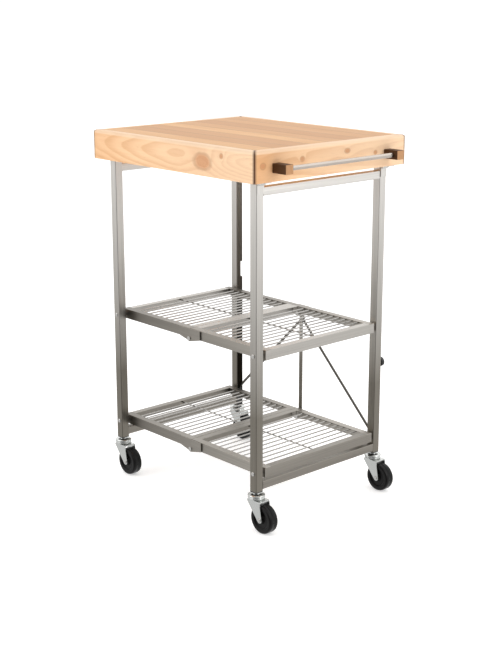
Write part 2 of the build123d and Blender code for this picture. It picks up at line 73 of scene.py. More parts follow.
def sweepHull(centres, radii, axis, low, high, ease=0.4 * mm, count=48, steps=4):
    # the outline of the discs carried along one axis; both ends are eased by a quarter circle of radius ease
    axis = allAxes[axis]
    across = [k for k in range(3) if k != axis]
    turn = np.linspace(0, np.pi / 2, steps + 1)
    start = [(ease * (1 - math.cos(t)), ease * (1 - math.sin(t)), -math.cos(t), math.sin(t)) for t in turn]
    stations = [(low + s[0], s[1], s[2], s[3]) for s in start]
    stations += [(high - s[0], s[1], -s[2], s[3]) for s in start[::-1]]
    rings, normals = [], []
    for spot, inset, along, outward in stations:
        outline, out = discHull(centres, np.maximum(np.asarray(radii) - inset, 0.02 * mm), count)
        ring = np.empty((count, 3))
        normal = np.empty((count, 3))
        ring[:, across] = outline
        ring[:, axis] = spot
        normal[:, across] = out * outward
        normal[:, axis] = along
        rings.append(ring)
        normals.append(normal)
    return np.array(rings), np.array(normals)


def softProfile(points, radius, steps=4):
    # a polyline whose inner corners are arcs, with one radius or one for each corner; gives the points and
    # their normals, to the right of the path; an arc starts radius * tan(turn / 2) before its corner
    points = np.asarray(points, float)
    radius = np.broadcast_to(radius, len(points))
    edge = np.diff(points, axis=0)
    length = np.linalg.norm(edge, axis=1)
    edge = edge / length[:, None]
    out, normals = [points[0]], [np.array([edge[0][1], -edge[0][0]])]
    for k in range(1, len(points) - 1):
        back, ahead = edge[k - 1], edge[k]
        turn = math.atan2(back[0] * ahead[1] - back[1] * ahead[0], float(back @ ahead))
        reach = min(radius[k] * abs(math.tan(turn / 2)), 0.45 * length[k - 1], 0.45 * length[k])
        bend = reach / max(abs(math.tan(turn / 2)), 1e-6)
        side = 1.0 if turn > 0 else -1.0
        inward = np.array([-back[1], back[0]]) * side
        centre = points[k] - back * reach + inward * bend
        for t in np.linspace(0, 1, steps + 1):
            angle = turn * t
            spun = np.array(
                [
                    -inward[0] * math.cos(angle) + inward[1] * math.sin(angle),
                    -inward[0] * math.sin(angle) - inward[1] * math.cos(angle),
                ]
            )
            out.append(centre + spun * bend)
            normals.append(spun * side)
    out.append(points[-1])
    normals.append(np.array([edge[-1][1], -edge[-1][0]]))
    return np.array(out), np.array(normals)


def sweepOutline(corners, axis, low, high, radius, ease=0.25 * mm, steps=3):
    # any closed outline, drawn anticlockwise, carried along one axis; each point moves in along its normal by
    # ease * (1 - sin t) where the end is eased
    corners = [np.array(c, float) for c in corners]
    middle = (corners[0] + corners[-1]) / 2
    radii = [0.0, *np.broadcast_to(radius, len(corners)), 0.0]
    line, out = softProfile([middle, *corners, middle], radii, steps)
    line, out = line[:-1], out[:-1]
    axis = allAxes[axis]
    across = [k for k in range(3) if k != axis]
    turn = np.linspace(0, np.pi / 2, steps)
    start = [(ease * (1 - math.cos(t)), ease * (1 - math.sin(t)), -math.cos(t), math.sin(t)) for t in turn]
    stations = [(low + s[0], s[1], s[2], s[3]) for s in start]
    stations += [(high - s[0], s[1], -s[2], s[3]) for s in start[::-1]]
    rings = np.empty((len(stations), len(line), 3))
    normals = np.empty_like(rings)
    for row, (spot, inset, along, outward) in enumerate(stations):
        rings[row][:, across] = line - out * inset
        rings[row][:, axis] = spot
        normals[row][:, across] = out * outward
        normals[row][:, axis] = along
    return rings, normals


def latheRings(profile, centre, axis, radius=0.3 * mm, count=48, steps=4):
    # a profile of (distance from axis, place along axis) turned once round the axis through centre
    line, normal = softProfile(profile, radius, steps)
    axis = allAxes[axis]
    across = [k for k in range(3) if k != axis]
    turn = np.arange(count) * 2 * np.pi / count
    spin = np.stack([np.cos(turn), np.sin(turn)], 1)
    rings = np.empty((len(line), count, 3))
    normals = np.empty_like(rings)
    for values, table in ((line, rings), (normal, normals)):
        table[..., across] = values[:, None, :1] * spin[None]
        table[..., axis] = values[:, None, 1]
    rings[..., across] += np.asarray(centre)[across]
    rings[..., axis] += np.asarray(centre)[axis]
    return rings, normals


def gridFaces(rings, normals):
    # quads between neighbouring rings and one flat face at each end, turned to face along the normals
    rows, columns = rings.shape[:2]
    index = np.arange(rows * columns).reshape(rows, columns)
    ahead = np.roll(index, -1, axis=1)
    quads = np.stack([index[:-1], ahead[:-1], ahead[1:], index[1:]], -1).reshape(-1, 4)
    points = rings.reshape(-1, 3)
    side = np.cross(points[quads[:, 1]] - points[quads[:, 0]], points[quads[:, 3]] - points[quads[:, 0]])
    facing = (side * normals.reshape(-1, 3)[quads].mean(1)).sum()
    ends = [index[0][::-1], index[-1]]
    if facing < 0:
        quads = quads[:, ::-1]
        ends = [end[::-1] for end in ends]
    return quads.tolist() + [end.tolist() for end in ends]


def makePiece(name, shapes, material, body, nodes, extra=None):
    # joins grids into one closed mesh with exact normals and puts it in the frame; extra holds point values
    points, normals, faces = [], [], []
    offset = 0
    for rings, normal in shapes:
        faces += [[corner + offset for corner in face] for face in gridFaces(rings, normal)]
        points.append(rings.reshape(-1, 3))
        normals.append(normal.reshape(-1, 3))
        offset += len(points[-1])
    points = np.concatenate(points)
    normals = np.concatenate(normals)
    normals /= np.maximum(np.linalg.norm(normals, axis=1, keepdims=True), 1e-9)
    mesh = bpy.data.meshes.new(name)
    mesh.from_pydata(points.tolist(), [], faces)
    mesh.polygons.foreach_set("use_smooth", np.ones(len(faces), bool))
    mesh.materials.append(material)
    mesh.normals_split_custom_set_from_vertices(normals.tolist())
    for label, values in (extra or {}).items():
        layer = mesh.attributes.new(label, "FLOAT", "POINT")
        layer.data.foreach_set("value", np.asarray(values, np.float32))
    mesh.update()
    piece = bpy.data.objects.new(name, mesh)
    bpy.context.scene.collection.objects.link(piece)
    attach(piece, body)
    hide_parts(*nodes)


# Node tools.


def add(tree, kind, inputs=None, **settings):
    # one node with its settings, its plain values and its links
    item = tree.nodes.new(kind)
    for key, value in settings.items():
        setattr(item, key, value)
    for key, value in (inputs or {}).items():
        socket = item.inputs[key]
        if isinstance(value, bpy.types.NodeSocket):
            tree.links.new(value, socket)
        else:
            socket.default_value = value
    return item


def calc(tree, operation, first, second=0.0, third=0.0, clamp=False):
    # one Math node, and its result
    inputs = {0: first, 1: second, 2: third}
    return add(tree, "ShaderNodeMath", inputs, operation=operation, use_clamp=clamp).outputs[0]


def vectorCalc(tree, operation, first, second):
    # one Vector Math node, and its vector
    return add(tree, "ShaderNodeVectorMath", {0: first, 1: second}, operation=operation).outputs[0]


def noise(tree, vector, scale, detail):
    # one Noise Texture node, and its value
    inputs = {"Vector": vector, "Scale": scale, "Detail": detail}
    return add(tree, "ShaderNodeTexNoise", inputs).outputs[0]


def smooth(tree, value, low, high, floor=0.0, ceiling=1.0):
    # a smooth step from floor to ceiling as value goes from low to high
    inputs = {"Value": value, "From Min": low, "From Max": high, "To Min": floor, "To Max": ceiling}
    return add(tree, "ShaderNodeMapRange", inputs, interpolation_type="SMOOTHSTEP").outputs[0]


def blendColour(tree, factor, first, second, mode="MIX"):
    # one colour Mix node, and its result
    item = add(tree, "ShaderNodeMix", data_type="RGBA", blend_type=mode)
    for place, value in ((0, factor), (6, first), (7, second)):
        if isinstance(value, bpy.types.NodeSocket):
            tree.links.new(value, item.inputs[place])
        else:
            item.inputs[place].default_value = value
    return item.outputs[2]


def tone(red, green, blue):
    # a screen colour (0 to 255) as the linear colour that shaders use
    channel = [c / 255 for c in (red, green, blue)]
    return tuple(c / 12.92 if c <= 0.04045 else ((c + 0.055) / 1.055) ** 2.4 for c in channel) + (1.0,)


def makeGroup(name, inputs, outputs):
    # an empty shader node group with named sockets
    tree = bpy.data.node_groups.new(name, "ShaderNodeTree")
    for label, kind, value in inputs:
        socket = tree.interface.new_socket(label, in_out="INPUT", socket_type="NodeSocket" + kind)
        if value is not None:
            socket.default_value = value
    for label, kind in outputs:
        tree.interface.new_socket(label, in_out="OUTPUT", socket_type="NodeSocket" + kind)
    return tree, tree.nodes.new("NodeGroupInput").outputs, tree.nodes.new("NodeGroupOutput").inputs


def place(tree, group, **inputs):
    # one use of a node group; socket names are given with underscores for spaces
    item = add(tree, "ShaderNodeGroup", node_tree=group)
    for key, value in inputs.items():
        socket = item.inputs[key.replace("_", " ")]
        if isinstance(value, bpy.types.NodeSocket):
            tree.links.new(value, socket)
        else:
            socket.default_value = value
    return item.outputs


def newMaterial(name):
    # an empty material; gives the material, its tree, its Principled shader and its Object coordinates
    material = bpy.data.materials.new(name)
    material.use_nodes = True
    tree = material.node_tree
    shader = tree.nodes["Principled BSDF"]
    coords = tree.nodes.new("ShaderNodeTexCoord").outputs["Object"]
    return material, tree, shader, coords


def feed(tree, shader, **inputs):
    # links or sets the shader's sockets; names are given with underscores for spaces
    for key, value in inputs.items():
        socket = shader.inputs[key.replace("_", " ")]
        if isinstance(value, bpy.types.NodeSocket):
            tree.links.new(value, socket)
        else:
            socket.default_value = value


def bump(tree, height, strength, distance):
    # a Bump node, and its normal
    inputs = {"Height": height, "Strength": strength, "Distance": distance}
    return add(tree, "ShaderNodeBump", inputs).outputs[0]


def turned(tree, coords, turn=(0, 0, 0), scale=(1, 1, 1), shift=(0, 0, 0)):
    # coordinates after a Mapping node
    inputs = {"Vector": coords, "Location": shift, "Rotation": turn, "Scale": scale}
    return add(tree, "ShaderNodeMapping", inputs).outputs[0]


# Shared effects, as node groups.


def buildGrainGroup():
    # growth rings are circles round a pith line: sqrt((y + splay * x)^2 + (z + tilt * x)^2) / ring width,
    # bent by slow noise and by knots (Lift); fibre is noise stretched along X; pores are short dark dashes
    inputs = [
        ("Vector", "Vector", None),
        ("Lift", "Float", 0.0),
        ("Pith", "Vector", (0.0, 0.0, -0.12)),
        ("Tilt", "Float", 0.08),
        ("Splay", "Float", 0.0),
        ("Ring Width", "Float", 0.009),
        ("Wander", "Float", 0.02),
    ]
    outputs = [("Rings", "Float"), ("Fibre", "Float"), ("Pores", "Float"), ("Cloud", "Float")]
    tree, give, take = makeGroup("woodGrain", inputs, outputs)
    vector = give["Vector"]
    slow = noise(tree, turned(tree, vector, scale=(3.2, 11, 11)), 1.0, 2.0)
    local = vectorCalc(tree, "SUBTRACT", vector, give["Pith"])
    part = add(tree, "ShaderNodeSeparateXYZ", {0: local}).outputs
    down = calc(tree, "MULTIPLY_ADD", part[0], give["Tilt"], part[2])
    aside = calc(tree, "MULTIPLY_ADD", part[0], give["Splay"], part[1])
    squared = calc(tree, "MULTIPLY_ADD", aside, aside, calc(tree, "MULTIPLY", down, down))
    radius = calc(tree, "SQRT", squared)
    wander = calc(tree, "MULTIPLY", calc(tree, "SUBTRACT", slow, 0.5), give["Wander"])
    bent = calc(tree, "ADD", calc(tree, "ADD", radius, wander), give["Lift"])
    phase = calc(tree, "FRACT", calc(tree, "DIVIDE", bent, give["Ring Width"]))
    rising = smooth(tree, phase, 0.15, 0.86)
    falling = smooth(tree, phase, 0.88, 1.0, 1.0, 0.0)
    tree.links.new(calc(tree, "MULTIPLY", rising, falling), take["Rings"])
    fibre = noise(tree, turned(tree, vector, scale=(5, 170, 170)), 1.0, 5.0)
    tree.links.new(fibre, take["Fibre"])
    dash = noise(tree, turned(tree, vector, scale=(45, 1500, 1500)), 1.0, 1.0)
    tree.links.new(smooth(tree, dash, 0.66, 0.74), take["Pores"])
    cloud = noise(tree, turned(tree, vector, scale=(5, 16, 16)), 1.0, 2.0)
    tree.links.new(cloud, take["Cloud"])
    return tree


def buildKnotGroup():
    # d is the distance to the knot's centre in knot radii: the swell 0.9 * exp(-0.22 * d * d) bends the rings
    # round it, the mask is 1 inside, the rim is a dark line where d is 1, and the heart has fine rings
    inputs = [
        ("Vector", "Vector", None),
        ("Centre", "Vector", (0, 0, 0)),
        ("Size", "Vector", (0.02, 0.02, 0.02)),
    ]
    outputs = [("Swell", "Float"), ("Mask", "Float"), ("Rim", "Float"), ("Heart", "Float")]
    tree, give, take = makeGroup("woodKnot", inputs, outputs)
    local = vectorCalc(tree, "SUBTRACT", give["Vector"], give["Centre"])
    scaled = vectorCalc(tree, "DIVIDE", local, give["Size"])
    rough = noise(tree, give["Vector"], 60.0, 2.0)
    distance = add(tree, "ShaderNodeVectorMath", {0: scaled}, operation="LENGTH").outputs["Value"]
    distance = calc(tree, "MULTIPLY_ADD", calc(tree, "SUBTRACT", rough, 0.5), 0.35, distance)
    squared = calc(tree, "MULTIPLY", distance, distance)
    swell = calc(tree, "EXPONENT", calc(tree, "MULTIPLY", squared, -0.22))
    tree.links.new(calc(tree, "MULTIPLY", swell, 0.9), take["Swell"])
    tree.links.new(smooth(tree, distance, 0.62, 1.1, 1.0, 0.0), take["Mask"])
    rimEnd = smooth(tree, distance, 1.0, 1.3, 1.0, 0.0)
    rim = calc(tree, "MULTIPLY", smooth(tree, distance, 0.74, 0.97), rimEnd)
    tree.links.new(rim, take["Rim"])
    wave = calc(tree, "SINE", calc(tree, "MULTIPLY", distance, 26.0))
    tree.links.new(calc(tree, "MULTIPLY_ADD", wave, 0.5, 0.5), take["Heart"])
    return tree


def buildBrushGroup():
    # fine scratches: noise stretched along the brushing, with a slow cloud of handling marks
    inputs = [("Vector", "Vector", None), ("Length", "Vector", (3.0, 900.0, 900.0)), ("Grain", "Float", 1.0)]
    outputs = [("Streak", "Float"), ("Cloud", "Float"), ("Roughness", "Float")]
    tree, give, take = makeGroup("brushedMetal", inputs, outputs)
    stretched = vectorCalc(tree, "MULTIPLY", give["Vector"], give["Length"])
    streak = noise(tree, stretched, give["Grain"], 3.0)
    cloud = noise(tree, give["Vector"], 14.0, 3.0)
    tree.links.new(streak, take["Streak"])
    tree.links.new(cloud, take["Cloud"])
    rough = calc(tree, "MULTIPLY_ADD", streak, 0.22, calc(tree, "MULTIPLY_ADD", cloud, 0.1, 0.18))
    tree.links.new(rough, take["Roughness"])
    return tree


grainGroup = buildGrainGroup()
knotGroup = buildKnotGroup()
brushGroup = buildBrushGroup()
print("shared effects built")


# Wood.

boardLook = {
    "light": tone(247, 203, 157),
    "dark": tone(222, 166, 114),
    "knot": tone(182, 108, 66),
    "rim": tone(140, 82, 46),
    "edge": tone(251, 222, 190),
    # the mitre's dark colour: partly a dark joint, partly painted shadow of the mitre groove
    "mitre": tone(88, 50, 22),
    "burnBend": 1.2,
    "rings": 0.55,
    "fibre": 0.6,
    "cloud": 0.8,
    "base": -0.58,
    "pale": 0.45,
    "fadeLength": 0.15,
    "pores": 0.2,
    "knotShare": 0.8,
    "rimShare": 0.3,
    # where the painted highlight on the rounded top edge starts, how tall it is and how strong
    "edgeStart": 0.8905,
    "edgeSpan": 0.004,
    "edgeShare": 0.6,
}


def grainAmount(tree, grain, look):
    # how dark the grain is: rings * share + fibre * share + cloud * share + base, kept within 0 and 1
    fibre = calc(tree, "MULTIPLY", grain["Fibre"], look["fibre"])
    amount = calc(tree, "MULTIPLY_ADD", grain["Rings"], look["rings"], fibre)
    cloud = calc(tree, "MULTIPLY_ADD", grain["Cloud"], look["cloud"], look["base"])
    return calc(tree, "ADD", amount, cloud, clamp=True)


def boardMaterial(name, alongY, pith, knots, fade=(-0.3, 0.3, 0.25), splay=0.1, ringWidth=0.0075):
    # sanded board: rings and fibre tint the light wood, and knots bend the rings and darken it; fade says
    # where the board starts to grow paler, where that ends, and its darker share at the start; the rounded
    # edge is painted paler above edgeStart, a painted highlight, and the mitre is darkened, partly as a dark
    # joint and partly as the painted shadow of the mitre groove
    look = boardLook
    material, tree, shader, coords = newMaterial(name)
    local = turned(tree, coords, turn=(0, 0, -math.pi / 2 if alongY else 0.0))
    lift, mask, rim, heart = 0.0, 0.0, 0.0, 0.5
    for centre, size, strength in knots:
        knot = place(tree, knotGroup, Vector=local, Centre=centre, Size=size)
        lift = calc(tree, "MULTIPLY_ADD", knot["Swell"], strength, lift)
        mask = calc(tree, "MAXIMUM", mask, knot["Mask"])
        rim = calc(tree, "MAXIMUM", rim, knot["Rim"])
        heart = knot["Heart"]
    inputs = {"Vector": local, "Lift": lift, "Pith": pith, "Splay": splay, "Ring_Width": ringWidth}
    grain = place(tree, grainGroup, Tilt=0.0, Wander=0.02, **inputs)
    colour = blendColour(tree, grainAmount(tree, grain, look), look["light"], look["dark"])
    along = add(tree, "ShaderNodeSeparateXYZ", {0: local}).outputs[0]
    start, stop, darker = fade
    colour = blendColour(tree, smooth(tree, along, start, stop, 0.0, look["pale"]), colour, look["edge"])
    shaded = smooth(tree, along, start, start + look["fadeLength"], darker, 0.0)
    colour = blendColour(tree, shaded, colour, look["dark"])
    colour = blendColour(tree, calc(tree, "MULTIPLY", grain["Pores"], look["pores"]), colour, look["rim"])
    heartColour = blendColour(tree, heart, look["knot"], look["dark"])
    colour = blendColour(tree, calc(tree, "MULTIPLY", mask, look["knotShare"]), colour, heartColour)
    colour = blendColour(tree, calc(tree, "MULTIPLY", rim, look["rimShare"]), colour, look["rim"])
    # painted highlight: the rounded top edge is painted towards the pale edge colour
    height = add(tree, "ShaderNodeSeparateXYZ", {0: coords}).outputs[2]
    edgeEnd = look["edgeStart"] + look["edgeSpan"]
    edgeHighlight = smooth(tree, height, look["edgeStart"], edgeEnd, 0.0, look["edgeShare"])
    colour = blendColour(tree, edgeHighlight, colour, look["edge"])
    # the mitre's darkening: partly a dark joint, partly painted shadow of the mitre groove
    jointAndShadeMask = add(tree, "ShaderNodeAttribute", attribute_name="mitre", attribute_type="GEOMETRY").outputs["Fac"]
    colour = blendColour(tree, calc(tree, "POWER", jointAndShadeMask, look["burnBend"]), colour, look["mitre"])
    relief = calc(tree, "MULTIPLY_ADD", grain["Fibre"], 0.6, calc(tree, "MULTIPLY", grain["Rings"], -0.3))
    rough = calc(tree, "MULTIPLY_ADD", grain["Fibre"], 0.16, 0.46)
    feed(tree, shader, Base_Color=colour, Roughness=rough, Normal=bump(tree, relief, 0.12, 0.0006))
    feed(tree, shader, Coat_Weight=0.06, Coat_Roughness=0.4)
    return material


panelLook = {
    "light": tone(230, 178, 114),
    "dark": tone(202, 142, 78),
    "deep": tone(186, 126, 66),
    "glue": tone(122, 76, 40),
    "staveWidth": 0.0568,
    "glueWidth": 0.0009,
    "rings": 0.35,
    "fibre": 1.1,
    "cloud": 0.8,
    "base": -0.7,
    "staveShare": 0.75,
    "pores": 0.35,
    "glueShare": 0.8,
}


def panelMaterial():
    # edge-glued staves along X: floor(y / width) numbers the stave, and the number shifts its grain and tone
    look = panelLook
    material, tree, shader, coords = newMaterial("oiledTop")
    width, line = look["staveWidth"], look["glueWidth"]
    part = add(tree, "ShaderNodeSeparateXYZ", {0: coords}).outputs
    across = calc(tree, "DIVIDE", calc(tree, "ADD", part[1], 5 * width), width)
    number = calc(tree, "FLOOR", across)
    chance = add(tree, "ShaderNodeTexWhiteNoise", {"W": number}, noise_dimensions="1D").outputs["Value"]
    inside = calc(tree, "FRACT", across)
    toEdge = calc(tree, "MINIMUM", inside, calc(tree, "SUBTRACT", 1.0, inside))
    glue = smooth(tree, toEdge, 0.4 * line / width, 1.8 * line / width, 1.0, 0.0)
    along, sideways = calc(tree, "MULTIPLY", chance, 7.0), calc(tree, "MULTIPLY", chance, 3.0)
    shift = add(tree, "ShaderNodeCombineXYZ", {0: along, 1: sideways, 2: 0.0}).outputs[0]
    local = vectorCalc(tree, "ADD", coords, shift)
    inputs = {"Vector": local, "Pith": (0, 1.5, 0.80), "Tilt": 0.05, "Ring_Width": 0.006, "Wander": 0.03}
    grain = place(tree, grainGroup, **inputs)
    colour = blendColour(tree, grainAmount(tree, grain, look), look["light"], look["dark"])
    colour = blendColour(tree, calc(tree, "MULTIPLY", chance, look["staveShare"]), colour, look["deep"])
    colour = blendColour(tree, calc(tree, "MULTIPLY", grain["Pores"], look["pores"]), colour, look["glue"])
    colour = blendColour(tree, calc(tree, "MULTIPLY", glue, look["glueShare"]), colour, look["glue"])
    relief = calc(tree, "MULTIPLY_ADD", grain["Fibre"], 0.5, calc(tree, "MULTIPLY", glue, -1.0))
    rough = calc(tree, "MULTIPLY_ADD", grain["Fibre"], 0.15, 0.4)
    feed(tree, shader, Base_Color=colour, Roughness=rough, Normal=bump(tree, relief, 0.15, 0.0006))
    feed(tree, shader, Coat_Weight=0.08, Coat_Roughness=0.35)
    return material


postLook = {"side": tone(88, 54, 24), "end": tone(204, 154, 110), "streak": tone(58, 34, 13)}


def postMaterial():
    # small stained blocks: the long sides are dark, the sawn end shows paler end grain
    look = postLook
    material, tree, shader, coords = newMaterial("stainedPost")
    grain = place(tree, grainGroup, Vector=coords, Pith=(0.3, 0.02, 0.85), Ring_Width=0.004, Wander=0.01)
    side = blendColour(tree, grain["Fibre"], look["side"], look["streak"])
    end = blendColour(tree, calc(tree, "MULTIPLY", grain["Rings"], 0.5), look["end"], look["side"])
    facing = add(tree, "ShaderNodeTexCoord").outputs["Normal"]
    ahead = add(tree, "ShaderNodeSeparateXYZ", {0: facing}).outputs[0]
    colour = blendColour(tree, smooth(tree, ahead, 0.55, 0.85), side, end)
    feed(tree, shader, Base_Color=colour, Roughness=0.55, Normal=bump(tree, grain["Fibre"], 0.15, 0.0005))
    feed(tree, shader, Specular_IOR_Level=0.25)
    return material


# Metal and plastic.

steelRoughness = 0.05
# each look is painted shade: a darker tone fades to a lighter one between two places along the given axis,
# darker low down on the legs and end bars and towards -X on the bars along X, which are painted darker
# overall
steelStreakAndShade = {
    "x": {
        "first": tone(118, 113, 106),
        "last": tone(172, 167, 159),
        "axis": 0,
        "from": -0.31,
        "to": 0.26,
        "bend": 1.0,
        "streak": (3, 340, 340),
    },
    "y": {
        "first": tone(138, 133, 125),
        "last": tone(224, 221, 216),
        "axis": 2,
        "from": 0.11,
        "to": 0.80,
        "bend": 1.0,
        "streak": (340, 3, 340),
    },
    "z": {
        "first": tone(128, 123, 114),
        "last": tone(219, 216, 211),
        "axis": 2,
        "from": 0.28,
        "to": 0.81,
        "bend": 0.76,
        "streak": (340, 340, 3),
    },
}


def steelMaterial(name, lengthwise):
    # brushed stainless tube: fine streaks along the bar over painted shade, a tone that fades by
    # ((place - from) / (to - from)) ^ bend
    look = steelStreakAndShade[lengthwise]
    material, tree, shader, coords = newMaterial(name)
    brush = place(tree, brushGroup, Vector=coords, Length=look["streak"])
    # painted shade: the darker first tone at the low or -X end fades to the lighter last tone
    spot = add(tree, "ShaderNodeSeparateXYZ", {0: coords}).outputs[look["axis"]]
    inputs = {"Value": spot, "From Min": look["from"], "From Max": look["to"], "To Min": 0.0, "To Max": 1.0}
    fraction = add(tree, "ShaderNodeMapRange", inputs).outputs[0]
    colour = blendColour(tree, calc(tree, "POWER", fraction, look["bend"]), look["first"], look["last"])
    shade = calc(tree, "MULTIPLY_ADD", brush["Streak"], 0.44, 0.78)
    grey = add(tree, "ShaderNodeCombineColor", {0: shade, 1: shade, 2: shade}).outputs[0]
    colour = blendColour(tree, 1.0, colour, grey, mode="MULTIPLY")
    rough = calc(tree, "ADD", brush["Roughness"], steelRoughness)
    normal = bump(tree, brush["Streak"], 0.05, 0.0003)
    feed(tree, shader, Base_Color=colour, Metallic=1.0, Roughness=rough, Normal=normal)
    return material


def plainMetal(name, colour, roughness, streak=(300, 300, 300)):
    # bright metal with faint marks
    material, tree, shader, coords = newMaterial(name)
    brush = place(tree, brushGroup, Vector=coords, Length=streak)
    dull = blendColour(tree, calc(tree, "MULTIPLY", brush["Cloud"], 0.35), colour, tone(120, 118, 114))
    rough = calc(tree, "MULTIPLY_ADD", brush["Streak"], 0.12, roughness)
    normal = bump(tree, brush["Streak"], 0.04, 0.0002)
    feed(tree, shader, Base_Color=dull, Metallic=1.0, Roughness=rough, Normal=normal)
    return material


def wheelMaterial():
    # glossy black moulding with faint specks of dust
    material, tree, shader, coords = newMaterial("blackWheel")
    speck = noise(tree, coords, 240.0, 4.0)
    dust = smooth(tree, speck, 0.6, 0.85, 0.0, 0.1)
    colour = blendColour(tree, dust, tone(11, 10, 10), tone(70, 66, 62))
    rough = calc(tree, "MULTIPLY_ADD", speck, 0.2, 0.26)
    feed(tree, shader, Base_Color=colour, Roughness=rough, Normal=bump(tree, speck, 0.04, 0.0003))
    feed(tree, shader, Coat_Weight=0.03, Coat_Roughness=0.12, Specular_IOR_Level=0.18)
    return material


def plasticMaterial():
    # fine-textured black moulding
    material, tree, shader, coords = newMaterial("blackPlastic")
    pebble = noise(tree, coords, 900.0, 2.0)
    colour = blendColour(tree, pebble, tone(24, 24, 25), tone(46, 46, 47))
    feed(tree, shader, Base_Color=colour, Roughness=0.5, Normal=bump(tree, pebble, 0.2, 0.0003))
    return material


# knots are (place along the board, depth, height), radii and how strongly they bend the rings; the depth is
# that of the board's outer face, measured along Y for the long boards and along -X for the short ones
knotPlan = {
    "front": [
        ((0.100, -0.245, 0.862), (0.030, 0.03, 0.0185), 0.020),
        ((0.165, -0.245, 0.880), (0.006, 0.02, 0.006), 0.010),
    ],
    "right": [
        ((-0.220, -0.275, 0.866), (0.008, 0.02, 0.007), 0.008),
        ((-0.100, -0.275, 0.872), (0.007, 0.02, 0.006), 0.006),
        ((0.045, -0.275, 0.878), (0.009, 0.02, 0.006), 0.006),
        ((0.140, -0.275, 0.866), (0.006, 0.02, 0.005), 0.006),
    ],
    "rear": [((-0.120, 0.245, 0.870), (0.018, 0.03, 0.012), 0.014)],
    "left": [((0.080, 0.315, 0.860), (0.014, 0.02, 0.010), 0.012)],
}

rightBoard = {"fade": (-0.25, 0.15, 0.75), "splay": 0.06, "ringWidth": 0.010}
finish = {
    "front": boardMaterial("boardFront", False, (0, -0.212, 0.872), knotPlan["front"]),
    "rear": boardMaterial("boardRear", False, (0, 0.212, 0.862), knotPlan["rear"]),
    "right": boardMaterial("boardRight", True, (0, -0.235, 0.858), knotPlan["right"], **rightBoard),
    "left": boardMaterial("boardLeft", True, (0, 0.275, 0.866), knotPlan["left"], splay=0.07),
    "panel": panelMaterial(),
    "post": postMaterial(),
    "steelX": steelMaterial("steelAlongX", "x"),
    "steelY": steelMaterial("steelAlongY", "y"),
    "steelZ": steelMaterial("steelAlongZ", "z"),
    "wire": plainMetal("drawnWire", tone(184, 181, 177), 0.13),
    "rail": plainMetal("railTube", tone(204, 194, 184), 0.16, streak=(900, 6, 900)),
    "zinc": plainMetal("brightZinc", tone(214, 216, 214), 0.14),
    "link": plainMetal("darkLink", tone(96, 92, 86), 0.3),
    "rivet": plainMetal("turnedRivet", tone(205, 203, 200), 0.18),
    "wheel": wheelMaterial(),
    "plastic": plasticMaterial(),
}
print("materials made:", len(finish))


# Wooden top.

topLow = np.minimum(np.array(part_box("apron_left")[0]), np.array(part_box("apron_front")[0]))
topHigh = np.maximum(np.array(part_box("apron_right")[1]), np.array(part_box("apron_rear")[1]))
board = {
    "thickness": 18 * mm,
    "round": 7 * mm,
    "corner": 3 * mm,
    "innerEdge": 0.8 * mm,
    "backEdge": 0.6 * mm,
    "land": 1 * mm,
    "gap": 0.25 * mm,
    # how far the mitre's darkening reaches: partly a dark joint, partly painted shadow of the groove
    "burn": 7.0 * mm,
    "burnFrom": 0.2,
    "endStretch": 12 * mm,
    "endRings": 14,
}


def apronShape(side):
    # cross-section (depth, height) with a rounded outer top edge, carried along the board; each section point
    # stops on the 45 degree mitre plane, and the outer face curves in by the corner radius just before it
    thick, rounding, corner = board["thickness"], board["round"], board["corner"]
    low, high = topLow[2], topHigh[2]
    middle = (low + high) / 2
    land = thick - board["land"]
    inner = softProfile([(thick, middle), (thick, low), (0.0, low), (0.0, middle)], board["innerEdge"], 4)[0]
    outer = softProfile([(0.0, middle), (0.0, high), (land, high)], rounding, 8)[0]
    back = softProfile([(land, high), (thick, high), (thick, middle)], board["backEdge"], 3)[0]
    section = np.concatenate([inner[:-1], outer[:-1], back[:-1]])
    # fraction of the way from the straight stretch to each section point's own end
    fraction = np.concatenate([[0.0], np.sin(np.linspace(0.0, np.pi / 2, board["endRings"]))[1:]])
    along = {"front": 0, "rear": 0, "left": 1, "right": 1}[side]
    across = 1 - along
    sign = 1.0 if side in ("rear", "right") else -1.0
    face = topHigh[across] if sign > 0 else topLow[across]
    centre = (topLow[along] + topHigh[along]) / 2
    half = (topHigh[along] - topLow[along]) / 2
    sectionDepth = section[:, 0]
    rings, burn = [], []
    touch = corner * (1 - 1 / math.sqrt(2))
    stations = [(-1, f) for f in fraction[::-1]] + [(1, f) for f in fraction]
    for end, part in stations:
        straight = half - thick - board["endStretch"]
        stop = half - np.maximum(sectionDepth, touch) - board["gap"]
        reach = straight + (stop - straight) * part
        toEnd = half - reach
        arc = corner - np.sqrt(np.maximum(corner**2 - (corner - toEnd) ** 2, 0))
        depth = np.maximum(sectionDepth, np.where(toEnd < corner, arc, 0.0))
        ring = np.empty((len(section), 3))
        ring[:, along] = centre + end * reach
        ring[:, across] = face - sign * depth
        ring[:, 2] = section[:, 1]
        rings.append(ring)
        # darkening towards the mitre, partly a dark joint and partly painted shadow of the mitre groove
        jointAndShadeHere = np.clip(1 - (stop - reach) / board["burn"], 0, 1)
        burn.append(jointAndShadeHere if part > board["burnFrom"] else np.zeros(len(section)))
    rings = np.array(rings)
    du = np.roll(rings, -1, 1) - np.roll(rings, 1, 1)
    dv = np.gradient(rings, axis=0)
    normals = np.cross(du, dv)
    normals /= np.maximum(np.linalg.norm(normals, axis=2, keepdims=True), 1e-12)
    core = rings.mean(axis=1, keepdims=True)
    if ((rings - core) * normals).sum() < 0:
        normals = -normals
    return rings, normals, np.array(burn)


for side in ("front", "rear", "left", "right"):
    rings, normals, burn = apronShape(side)
    mitre = {"mitre": burn.reshape(-1)}
    grid = [(rings, normals)]
    makePiece(f"board_{side}", grid, finish[side], "table_top", [f"apron_{side}"], mitre)

